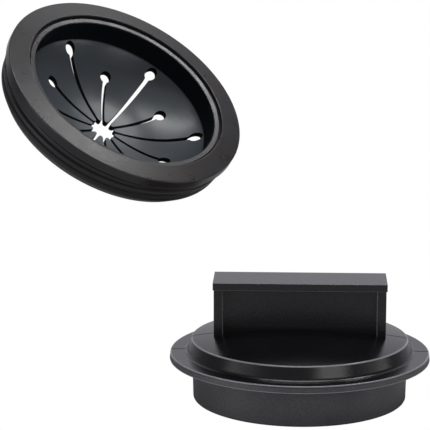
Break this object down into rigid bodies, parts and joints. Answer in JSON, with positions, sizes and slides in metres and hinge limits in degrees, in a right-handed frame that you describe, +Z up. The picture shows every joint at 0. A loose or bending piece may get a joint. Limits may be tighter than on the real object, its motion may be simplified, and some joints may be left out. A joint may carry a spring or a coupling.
{
  "type": "disposal splash guard and stopper set",
  "caption": "Loose accessories for a kitchen disposal's drain opening: a tilted rubber splash guard whose slit bowl flexes in petals, and a round plastic stopper with a T handle.",
  "frame": {"origin": "on the surface that the stopper stands on, under the middle of the whole set's bounding box", "axes": "+Z up along the stopper's axis, +X along its handle, -Y towards the side that the picture shows"},
  "size_m": [0.1354, 0.0924, 0.1213],
  "materials": {
    "collar_rubber": "satin",
    "bowl_rubber": "satin",
    "stopper_plastic": "fine satin grain"
  },
  "bodies": {
    "stopper": {"stopper_cap": "stopper_plastic", "stopper_handle": "stopper_plastic"},
    "guard": {"guard_collar": "collar_rubber"},
    "petal_1": {"guard_petal_1": "bowl_rubber"},
    "petal_2": {"guard_petal_2": "bowl_rubber"},
    "petal_3": {"guard_petal_3": "bowl_rubber"},
    "petal_4": {"guard_petal_4": "bowl_rubber"},
    "petal_5": {"guard_petal_5": "bowl_rubber"},
    "petal_6": {"guard_petal_6": "bowl_rubber"},
    "tip_01": {"guard_tip_01": "bowl_rubber"},
    "tip_02": {"guard_tip_02": "bowl_rubber"},
    "tip_03": {"guard_tip_03": "bowl_rubber"},
    "tip_04": {"guard_tip_04": "bowl_rubber"},
    "tip_05": {"guard_tip_05": "bowl_rubber"},
    "tip_06": {"guard_tip_06": "bowl_rubber"},
    "tip_07": {"guard_tip_07": "bowl_rubber"},
    "tip_08": {"guard_tip_08": "bowl_rubber"},
    "tip_09": {"guard_tip_09": "bowl_rubber"},
    "tip_10": {"guard_tip_10": "bowl_rubber"},
    "tip_11": {"guard_tip_11": "bowl_rubber"},
    "tip_12": {"guard_tip_12": "bowl_rubber"}
  },
  "joints": [
    {"name": "guard_lift", "type": "slide", "parent": "stopper", "child": "guard", "axis": [0.4601, -0.428, 0.7779], "range_m": [0, 0.03]},
    {"name": "petal_1_fold", "type": "hinge", "parent": "guard", "child": "petal_1", "pos_m": [-0.0149, 0.00986, 0.07118], "axis": [-0.3397, -0.8943, -0.2911], "range_deg": [0, 28], "stiffness_Nm_per_rad": 0.008},
    {"name": "petal_2_fold", "type": "hinge", "parent": "guard", "child": "petal_2", "pos_m": [-0.01779, 0.03075, 0.08438], "axis": [0.5406, -0.56, -0.6278], "range_deg": [0, 28], "stiffness_Nm_per_rad": 0.008},
    {"name": "petal_3_fold", "type": "hinge", "parent": "guard", "child": "petal_3", "pos_m": [-0.0382, 0.03399, 0.09824], "axis": [0.8803, 0.3343, -0.3367], "range_deg": [0, 28], "stiffness_Nm_per_rad": 0.008},
    {"name": "petal_4_fold", "type": "hinge", "parent": "guard", "child": "petal_4", "pos_m": [-0.05572, 0.01634, 0.09889], "axis": [0.3397, 0.8943, 0.2911], "range_deg": [0, 28], "stiffness_Nm_per_rad": 0.008},
    {"name": "petal_5_fold", "type": "hinge", "parent": "guard", "child": "petal_5", "pos_m": [-0.05284, -0.00455, 0.08569], "axis": [-0.5406, 0.56, 0.6278], "range_deg": [0, 28], "stiffness_Nm_per_rad": 0.008},
    {"name": "petal_6_fold", "type": "hinge", "parent": "guard", "child": "petal_6", "pos_m": [-0.03243, -0.00779, 0.07184], "axis": [-0.8803, -0.3343, 0.3367], "range_deg": [0, 28], "stiffness_Nm_per_rad": 0.008},
    {"name": "tip_01_fold", "type": "hinge", "parent": "petal_1", "child": "tip_01", "pos_m": [-0.02142, 0.00645, 0.07054], "axis": [-0.5405, -0.8301, -0.1371], "range_deg": [0, 50], "stiffness_Nm_per_rad": 0.002},
    {"name": "tip_02_fold", "type": "hinge", "parent": "petal_1", "child": "tip_02", "pos_m": [-0.01772, 0.01619, 0.07371], "axis": [-0.1158, -0.8976, -0.4253], "range_deg": [0, 50], "stiffness_Nm_per_rad": 0.002},
    {"name": "tip_03_fold", "type": "hinge", "parent": "petal_2", "child": "tip_03", "pos_m": [-0.01898, 0.02534, 0.07949], "axis": [0.3398, -0.7245, -0.5996], "range_deg": [0, 50], "stiffness_Nm_per_rad": 0.002},
    {"name": "tip_04_fold", "type": "hinge", "parent": "petal_2", "child": "tip_04", "pos_m": [-0.02487, 0.03145, 0.08634], "axis": [0.7044, -0.3574, -0.6132], "range_deg": [0, 50], "stiffness_Nm_per_rad": 0.002},
    {"name": "tip_05_fold", "type": "hinge", "parent": "petal_3", "child": "tip_05", "pos_m": [-0.03381, 0.03287, 0.09241], "axis": [0.8803, 0.1056, -0.4625], "range_deg": [0, 50], "stiffness_Nm_per_rad": 0.002},
    {"name": "tip_06_fold", "type": "hinge", "parent": "petal_3", "child": "tip_06", "pos_m": [-0.0434, 0.02923, 0.09607], "axis": [0.8203, 0.5402, -0.1879], "range_deg": [0, 50], "stiffness_Nm_per_rad": 0.002},
    {"name": "tip_07_fold", "type": "hinge", "parent": "petal_4", "child": "tip_07", "pos_m": [-0.05108, 0.0215, 0.09636], "axis": [0.5405, 0.8301, 0.1371], "range_deg": [0, 50], "stiffness_Nm_per_rad": 0.002},
    {"name": "tip_08_fold", "type": "hinge", "parent": "petal_4", "child": "tip_08", "pos_m": [-0.05478, 0.01175, 0.09319], "axis": [0.1158, 0.8976, 0.4253], "range_deg": [0, 50], "stiffness_Nm_per_rad": 0.002},
    {"name": "tip_09_fold", "type": "hinge", "parent": "petal_5", "child": "tip_09", "pos_m": [-0.05352, 0.0026, 0.08741], "axis": [-0.3398, 0.7245, 0.5996], "range_deg": [0, 50], "stiffness_Nm_per_rad": 0.002},
    {"name": "tip_10_fold", "type": "hinge", "parent": "petal_5", "child": "tip_10", "pos_m": [-0.04763, -0.0035, 0.08056], "axis": [-0.7044, 0.3574, 0.6132], "range_deg": [0, 50], "stiffness_Nm_per_rad": 0.002},
    {"name": "tip_11_fold", "type": "hinge", "parent": "petal_6", "child": "tip_11", "pos_m": [-0.03869, -0.00492, 0.0745], "axis": [-0.8803, -0.1056, 0.4625], "range_deg": [0, 50], "stiffness_Nm_per_rad": 0.002},
    {"name": "tip_12_fold", "type": "hinge", "parent": "petal_6", "child": "tip_12", "pos_m": [-0.0291, -0.00128, 0.07083], "axis": [-0.8203, -0.5402, 0.1879], "range_deg": [0, 50], "stiffness_Nm_per_rad": 0.002}
  ]
}
